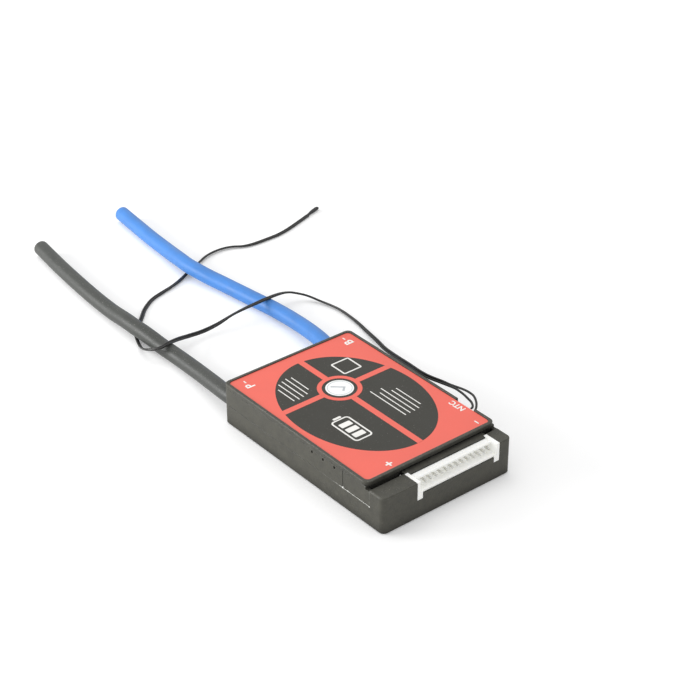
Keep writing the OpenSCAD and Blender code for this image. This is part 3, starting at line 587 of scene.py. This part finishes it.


# %% [markdown]
# Five effects cover nearly everything on this board. Moulded grain is the sparkle of
# an etched mould, with slow clouds under it. Worn and highlit edges finds edges by comparing
# the surface's direction with that of its rounded neighbourhood (the Bevel node); its mask
# lightens edges, partly as rubbed wear and partly as a painted highlight. It also
# hands out that rounded direction, which takes the knife edge off a solid. Settled dust
# lies on what faces up, in specks. Drawn streaks run along Y, as on an extruded sheath.
# Crevice shade asks how much of the sky a point sees within a small distance, and marks
# the slots and holes where it sees little: there the colour is painted dark as shade.

# %% The five effects
grain_group, start, end = start_group(
    "moulded_grain", {"Grain Size": 0.35, "Cloud Size": 7.0},
    {"Height": "Float", "Clouds": "Float"})
fine = noise(grain_group, scaled_place(grain_group, start.outputs["Grain Size"]), 3.0, 0.65)
slow = noise(grain_group, scaled_place(grain_group, start.outputs["Cloud Size"]), 4.0)
grain_group.links.new(fine, end.inputs["Height"])
grain_group.links.new(stretch(grain_group, slow, 0.32, 0.68), end.inputs["Clouds"])

# Its mask lightens edges: rubbed wear, and on the case partly a painted highlight.
edge_wear_and_highlight_group, start, end = start_group(
    "worn_and_highlit_edges", {"Reach": 0.25, "Patchiness": 1.5}, {"Mask": "Float", "Normal": "Vector"})
reach = add(edge_wear_and_highlight_group, "Math", {0: start.outputs["Reach"], 1: MM},
            operation="MULTIPLY").outputs[0]
rounded = add(edge_wear_and_highlight_group, "Bevel", {"Radius": reach}, samples=6).outputs["Normal"]
flat = add(edge_wear_and_highlight_group, "NewGeometry").outputs["Normal"]
same = add(edge_wear_and_highlight_group, "VectorMath", {0: rounded, 1: flat},
           operation="DOT_PRODUCT").outputs["Value"]
turned = stretch(edge_wear_and_highlight_group, same, 0.995, 0.86)
patch = noise(edge_wear_and_highlight_group, scaled_place(edge_wear_and_highlight_group, start.outputs["Patchiness"]), 3.0)
mask = add(edge_wear_and_highlight_group, "Math", {0: turned, 1: stretch(edge_wear_and_highlight_group, patch, 0.35, 0.6)},
           operation="MULTIPLY").outputs[0]
edge_wear_and_highlight_group.links.new(mask, end.inputs["Mask"])
edge_wear_and_highlight_group.links.new(rounded, end.inputs["Normal"])

dust_group, start, end = start_group(
    "settled_dust", {"Speck Size": 0.6, "Threshold": 0.62}, {"Mask": "Float"})
specks = noise(dust_group, scaled_place(dust_group, start.outputs["Speck Size"]), 2.0, 0.7)
above = add(dust_group, "Math", {0: start.outputs["Threshold"], 1: 0.06},
            operation="ADD").outputs[0]
speck = add(dust_group, "MapRange", {"Value": specks, "From Min": start.outputs["Threshold"],
                                     "From Max": above}, clamp=True).outputs["Result"]
facing = add(dust_group, "SeparateXYZ",
             {0: add(dust_group, "NewGeometry").outputs["Normal"]}).outputs["Z"]
settled = add(dust_group, "Math", {0: speck, 1: stretch(dust_group, facing, -0.2, 0.8)},
              operation="MULTIPLY").outputs[0]
dust_group.links.new(settled, end.inputs["Mask"])

streak_group, start, end = start_group(
    "drawn_streaks", {"Streak Width": 0.7}, {"Height": "Float", "Mask": "Float"})
place = scaled_place(streak_group, start.outputs["Streak Width"])
drawn = add(streak_group, "VectorMath", {0: place, 1: (1.0, 0.04, 1.0)},
            operation="MULTIPLY").outputs["Vector"]
lines = noise(streak_group, drawn, 3.0)
streak_group.links.new(lines, end.inputs["Height"])
streak_group.links.new(stretch(streak_group, lines, 0.4, 0.7), end.inputs["Mask"])

# Its mask marks slots and holes that see little sky; finishes paint them near black there as
# painted shade.
crevice_shade_group, start, end = start_group("painted_crevice_shade", {"Depth": 2.0}, {"Mask": "Float"})
depth = add(crevice_shade_group, "Math", {0: start.outputs["Depth"], 1: MM},
            operation="MULTIPLY").outputs[0]
sky = add(crevice_shade_group, "AmbientOcclusion", {"Distance": depth}, samples=6).outputs["AO"]
crevice_shade_group.links.new(stretch(crevice_shade_group, sky, 0.88, 0.2), end.inputs["Mask"])
print("node groups:", [g.name for g in bpy.data.node_groups])

# %% [markdown]
# One helper builds a finish from these effects. The clouds move the colour and the
# roughness a little up and down, the lighter edges (wear, and painted highlight) and the dust
# lie over them, and the grain becomes a bump of a tenth of a millimetre or less. What is the
# same all over, such as metal or sheen, is set on the shader itself. Crevices are painted near
# black as shade and made duller.

# %% Helper: one finish
# The second colour is the near black of painted shade in crevices.
DUST, CREVICE_SHADE = (0.62, 0.6, 0.56), (0.001, 0.001, 0.001)
ROUGH_RANGE = 0.07


def finish(name, colour, rough, clouds=0.12, cloud_size=7.0, grain=0.35, relief=0.02,
           wear_and_highlight=0.0, wear_and_highlight_colour=(0.3, 0.3, 0.3), reach=0.25, dust=0.0, speck=0.6,
           threshold=0.62, streaks=0.0, streak_width=0.7, crevice=0.0, **own):
    """A Principled material. Sizes and `crevice` are in millimetres, `clouds`, `wear_and_highlight`,
    `streaks` and `dust` are shares, and `own` holds values for the shader's own sockets."""
    material = bpy.data.materials.new(name)
    material.use_nodes = True
    tree = material.node_tree
    shader = tree.nodes["Principled BSDF"]
    for socket, value in own.items():
        shader.inputs[socket.replace("_", " ").title().replace("Ior", "IOR")
                      ].default_value = value

    def effect(group, links):
        node = add(tree, "Group", node_tree=group)
        for key, value in links.items():
            node.inputs[key].default_value = value
        return node

    def layered(below, above, mask, share):
        part = add(tree, "Math", {0: mask, 1: share}, operation="MULTIPLY").outputs[0]
        mix = add(tree, "Mix", data_type="RGBA")
        tree.links.new(part, mix.inputs["Factor"])
        tree.links.new(below, mix.inputs[6])
        mix.inputs[7].default_value = (*above, 1)
        return mix.outputs[2]

    surface = effect(grain_group, {"Grain Size": grain, "Cloud Size": cloud_size})
    tone = add(tree, "Mix", data_type="RGBA")
    tone.inputs[6].default_value = (*(c * (1 - clouds) for c in colour), 1)
    tone.inputs[7].default_value = (*(min(c * (1 + clouds), 1) for c in colour), 1)
    tree.links.new(surface.outputs["Clouds"], tone.inputs["Factor"])
    shade, height = tone.outputs[2], surface.outputs["Height"]
    edges = effect(edge_wear_and_highlight_group, {"Reach": reach})
    # Edges painted lighter: wear, and on the black case partly a painted highlight.
    if wear_and_highlight:
        shade = layered(shade, wear_and_highlight_colour, edges.outputs["Mask"], wear_and_highlight)
    if streaks:
        drawn = effect(streak_group, {"Streak Width": streak_width})
        shade = layered(shade, tuple(c * 0.6 for c in colour), drawn.outputs["Mask"], streaks)
        height = drawn.outputs["Height"]
    if dust:
        specks = effect(dust_group, {"Speck Size": speck, "Threshold": threshold})
        shade = layered(shade, DUST, specks.outputs["Mask"], dust)
    # Painted shade: where the mask finds a crevice, the colour goes to near black.
    if crevice:
        deep = effect(crevice_shade_group, {"Depth": crevice}).outputs["Mask"]
        shade = layered(shade, CREVICE_SHADE, deep, 1.0)
    tree.links.new(shade, shader.inputs["Base Color"])
    gloss = add(tree, "MapRange", {"Value": surface.outputs["Clouds"],
                                   "To Min": rough - ROUGH_RANGE,
                                   "To Max": rough + ROUGH_RANGE}
                ).outputs["Result"]
    if crevice:
        gloss = add(tree, "Math", {0: deep, 1: 0.45, 2: gloss},
                    operation="MULTIPLY_ADD").outputs[0]
    tree.links.new(gloss, shader.inputs["Roughness"])
    bump = add(tree, "Bump", {"Strength": 1.0, "Distance": relief * MM, "Height": height,
                              "Normal": edges.outputs["Normal"]})
    tree.links.new(bump.outputs["Normal"], shader.inputs["Normal"])
    return material


# %% [markdown]
# The finishes themselves. The case is one black plastic from three moulds; its edges are
# painted a lighter grey, partly as rubbed wear and partly as a painted highlight, and its
# crevices are painted dark as shade. The label is a satin film, its ink a little duller. Header
# and sockets are natural nylon, which lets light in a little way; a weak glow stands in for the
# light that comes through its thin walls. Silicone is soft and dull, the thin wires' vinyl is
# smooth and glossy. The parts on the board are plain but true to kind.

# %% The finishes
BLACK = (0.059, 0.057, 0.044)
finishes = {
    # The case's grey edges are partly wear and partly a painted highlight; its crevices carry
    # painted shade.
    "case_plastic": finish("moulded_black", BLACK, 0.52, clouds=0.2, cloud_size=2.4,
                           grain=0.7, relief=0.1, wear_and_highlight=0.5, wear_and_highlight_colour=(0.24, 0.245, 0.22),
                           reach=0.32, dust=0.35, threshold=0.66, crevice=6.0),
    "label_film": finish("coral_film", (0.86, 0.149, 0.11), 0.42, clouds=0.03,
                         cloud_size=18.0, grain=0.8, relief=0.004, reach=0.1, dust=0.12,
                         threshold=0.68, specular_ior_level=0.4),
    "panel_ink": finish("panel_ink", (0.038, 0.0365, 0.029), 0.55, clouds=0.06,
                        cloud_size=12.0, grain=0.3, relief=0.002, reach=0.02, dust=0.25,
                        threshold=0.68, specular_ior_level=0.42),
    "white_ink": finish("white_ink", (0.88, 0.87, 0.83), 0.5, clouds=0.05, grain=0.25,
                        relief=0.002, reach=0.02),
    "grey_ink": finish("grey_ink", (0.52, 0.54, 0.57), 0.5, clouds=0.1, grain=0.2,
                       relief=0.002, reach=0.02),
    "sticker_film": finish("sticker_paper", (0.95, 0.98, 0.965), 0.6, clouds=0.03, grain=0.3,
                           relief=0.006, reach=0.05),
    "connector_plastic": finish("natural_nylon", (0.95, 0.95, 0.92), 0.42, clouds=0.03,
                                cloud_size=3.0, grain=0.3, relief=0.006, reach=0.12,
                                emission_color=(1, 1, 0.97, 1), emission_strength=0.09,
                                subsurface_weight=0.15, subsurface_scale=0.0008,
                                subsurface_radius=(1.0, 0.95, 0.85)),
    "tinned_metal": finish("tinned_pins", (0.74, 0.735, 0.71), 0.55, clouds=0.06,
                           cloud_size=0.8, grain=0.1, relief=0.001, reach=0.08,
                           metallic=1.0),
    "laminate": finish("solder_mask", (0.02, 0.13, 0.06), 0.35, clouds=0.25, cloud_size=2.0,
                       grain=0.25, relief=0.01, wear_and_highlight=0.5, wear_and_highlight_colour=(0.5, 0.45, 0.25),
                       reach=0.1),
    "chip_resin": finish("chip_resin", (0.03, 0.03, 0.032), 0.6, clouds=0.15,
                         cloud_size=1.5, grain=0.12, relief=0.01, reach=0.1),
    "soft_pad": finish("soft_pad", (0.28, 0.36, 0.44), 0.7, clouds=0.1, grain=0.4,
                       relief=0.03, dust=0.3),
    "spreader_metal": finish("milled_aluminium", (0.72, 0.73, 0.74), 0.32, clouds=0.05,
                             grain=0.2, relief=0.006, streaks=0.25, streak_width=0.3,
                             metallic=1.0),
    "copper": finish("bare_copper", (0.8, 0.42, 0.25), 0.35, clouds=0.15, cloud_size=1.5,
                     grain=0.3, relief=0.02, streaks=0.3, streak_width=0.35, metallic=1.0),
    "ceramic": finish("fired_ceramic", (0.34, 0.25, 0.17), 0.5, clouds=0.15, cloud_size=1.0,
                      grain=0.1, relief=0.005, reach=0.08),
    "black_insulation": finish("black_silicone", (0.036, 0.039, 0.034), 0.5, clouds=0.14,
                               cloud_size=9.0, relief=0.012, streaks=0.25, dust=0.3,
                               threshold=0.64, speck=0.45, sheen_weight=0.12,
                               sheen_roughness=0.5),
    "blue_insulation": finish("blue_silicone", (0.045, 0.215, 0.61), 0.5, clouds=0.08,
                              cloud_size=9.0, relief=0.012, streaks=0.12, dust=0.1,
                              threshold=0.66, speck=0.45, sheen_weight=0.12,
                              sheen_roughness=0.5),
    "thin_insulation": finish("black_vinyl", (0.016, 0.016, 0.015), 0.32, clouds=0.2,
                              cloud_size=4.0, relief=0.004, streaks=0.2, streak_width=0.2,
                              reach=0.05),
    "dipped_resin": finish("dipped_resin", (0.02, 0.02, 0.021), 0.28, clouds=0.2,
                           cloud_size=1.0, grain=0.5, relief=0.03, reach=0.05),
}
print("finishes:", len(finishes))

# %% [markdown]
# The glue is thin where it was wiped off. Behind the slit it fades out, which no even
# colour can say, so its material mixes the white with the case's black: a mask from the
# distance along Y, broken up by noise of about 0.7 mm, says where enough of it is left to
# look white. The beads are whole, so they have an even finish.

# %% The wiped glue
def wiped_glue(name, white, black, first_y, last_y):
    """White where noise plus a ramp along Y passes one half, black elsewhere."""
    material = bpy.data.materials.new(name)
    material.use_nodes = True
    tree = material.node_tree
    shader = tree.nodes["Principled BSDF"]
    place = add(tree, "TexCoord").outputs["Object"]
    y = add(tree, "SeparateXYZ", {0: place}).outputs["Y"]
    ramp = add(tree, "MapRange", {"Value": y, "From Min": first_y * MM, "From Max": last_y * MM,
                                  "To Min": 0.32, "To Max": -0.45}).outputs["Result"]
    spots = add(tree, "TexNoise", {"Vector": place, "Scale": 1400.0, "Detail": 3.0})
    total = add(tree, "Math", {0: spots.outputs["Fac"], 1: ramp}, operation="ADD").outputs[0]
    mask = add(tree, "MapRange", {"Value": total, "From Min": 0.42, "From Max": 0.62},
               clamp=True).outputs["Result"]
    mix = add(tree, "Mix", data_type="RGBA")
    mix.inputs[6].default_value = (*black, 1)
    mix.inputs[7].default_value = (*white, 1)
    tree.links.new(mask, mix.inputs["Factor"])
    tree.links.new(mix.outputs[2], shader.inputs["Base Color"])
    bump = add(tree, "Bump", {"Strength": 1.0, "Distance": 0.03 * MM,
                              "Height": spots.outputs["Fac"]})
    tree.links.new(bump.outputs["Normal"], shader.inputs["Normal"])
    shader.inputs["Roughness"].default_value = 0.45
    return material


finishes["glue"] = wiped_glue("wiped_glue", (0.84, 0.84, 0.8), BLACK, -26.0, -14.0)
finishes["glue_drop"] = finish("dried_glue", (0.88, 0.88, 0.84), 0.4, clouds=0.05, grain=0.3,
                               relief=0.01, reach=0.05)

# %% [markdown]
# The solids came with one plain material each. We leave their meshes alone and put the
# finish that belongs to each solid into the slots it already has. Pieces that share a
# finish share one material.

# %% Which solid has which finish
NODE_FINISH = {
    "case_plastic": ["lower_case", "case_frame", "top_cover"],
    "label_film": ["label"],
    "sticker_film": ["inspection_sticker"],
    "glue": ["seam_glue"],
    "laminate": ["circuit_board"],
    "connector_plastic": ["balance_header", "ntc_socket", "ntc_plug"],
    "tinned_metal": ["header_pins", "ntc_socket_pins", "mosfet_tabs", "resistor_caps",
                     "monitor_chip_legs", "solder_joints", "battery_strap", "load_strap"],
    "chip_resin": ["mosfet_bodies", "balance_transistors", "monitor_chip", "driver_chip",
                   "balance_resistors", "current_shunts"],
    "soft_pad": ["thermal_pad"],
    "spreader_metal": ["heat_spreader"],
    "copper": ["load_lead_core", "battery_lead_core"],
    "ceramic": ["filter_capacitors"],
    "black_insulation": ["load_lead"],
    "blue_insulation": ["battery_lead"],
    "thin_insulation": ["ntc_tails", "ntc_lead"],
    "dipped_resin": ["thermistor_tip"],
}
for slot, nodes in NODE_FINISH.items():
    for node in nodes:
        solid = bpy.data.objects[node]
        if not solid.material_slots:
            solid.data.materials.append(None)
        for material_slot in solid.material_slots:
            material_slot.material = finishes[slot]
print("solids dressed:", sum(map(len, NODE_FINISH.values())))

# %% [markdown]
# The new pieces get their own finish, and each also says which of the part's material
# slots it belongs to: the ink counts as label, the tip as thin insulation.

# %% Which new piece has which finish
for piece, material, slot in (
        (leads["load_sheath"], "black_insulation", "black_insulation"),
        (leads["battery_sheath"], "blue_insulation", "blue_insulation"),
        (pair, "thin_insulation", "thin_insulation"),
        (tip, "dipped_resin", "thin_insulation"),
        (ink["ink_panel"], "panel_ink", "label_film"),
        (ink["ink_bands"], "label_film", "label_film"),
        (ink["ink_marks"], "white_ink", "label_film"),
        (ink["ink_form"], "white_ink", "label_film"),
        (ink["ink_seal"], "grey_ink", "sticker_film"),
        (glue_drops, "glue_drop", "glue")):
    piece.data.materials.append(finishes[material])

# %% [markdown]
# The floor is one pale plane that runs far back, so it is the background as well. The
# camera should see it white, yet it must still show the shadow of the case. Its colour is
# a pale grey that the lamps bring to just under white, and rays from the camera also find
# a little glow in it, which lifts the open floor to white and leaves the shadows.

# %% Floor
floor_mesh = bpy.data.meshes.new("floor")
HALF, DROP = 4.0, -0.0002
PAPER, FLOOR_GLOW = 0.86, 0.22
floor_mesh.from_pydata([(-HALF, -HALF, DROP), (HALF, -HALF, DROP), (HALF, HALF, DROP),
                        (-HALF, HALF, DROP)], [], [(0, 1, 2, 3)])
floor = bpy.data.objects.new("floor", floor_mesh)
bpy.context.scene.collection.objects.link(floor)
paper = bpy.data.materials.new("paper_floor")
paper.use_nodes = True
tree = paper.node_tree
shader = tree.nodes["Principled BSDF"]
shader.inputs["Base Color"].default_value = (PAPER, PAPER, PAPER, 1)
shader.inputs["Roughness"].default_value = 0.9
shader.inputs["Specular IOR Level"].default_value = 0.1
shader.inputs["Emission Color"].default_value = (1, 1, 1, 1)
rays = add(tree, "LightPath")
seen = add(tree, "Math", {0: rays.outputs["Is Camera Ray"], 1: FLOOR_GLOW},
           operation="MULTIPLY")
tree.links.new(seen.outputs[0], shader.inputs["Emission Strength"])
floor.data.materials.append(paper)

# %% [markdown]
# The light is that of a white tent: an even world, one big soft box behind the left
# shoulder of the case that brightens its long side, and a weaker one from above that gives
# the leads their soft highlight. The front face looks towards the darker side of the tent.
# The world is a little under white as a light, and full white where the camera sees it.

# %% Light
SKY_LIGHT, SKY_SEEN = 0.78, 1.0
world = bpy.data.worlds.new("studio")
bpy.context.scene.world = world
world.use_nodes = True
sky = world.node_tree.nodes["Background"]
sky.inputs["Color"].default_value = (1, 1, 1, 1)
rays = add(world.node_tree, "LightPath")
glow = add(world.node_tree, "MapRange", {"Value": rays.outputs["Is Camera Ray"],
                                         "To Min": SKY_LIGHT, "To Max": SKY_SEEN})
world.node_tree.links.new(glow.outputs["Result"], sky.inputs["Strength"])


def soft_box(name, place, aim, width, height, power):
    """A rectangular lamp at a place, turned towards a point."""
    light = bpy.data.lights.new(name, "AREA")
    light.shape = "RECTANGLE"
    light.size, light.size_y, light.energy = width, height, power
    lamp = bpy.data.objects.new(name, light)
    bpy.context.scene.collection.objects.link(lamp)
    lamp.location = place
    lamp.rotation_euler = Vector(np.subtract(aim, place)).to_track_quat("-Z", "Y").to_euler()
    return lamp


soft_box("side_light", (-0.46, 0.4, 0.17), (-0.03, 0.04, 0.0), 0.4, 0.25, 3.0)
soft_box("top_light", (0.1, 0.45, 1.2), (0.02, 0.05, 0.0), 0.9, 0.9, 2.5)
bpy.context.scene.view_settings.view_transform = "Standard"

# %% [markdown]
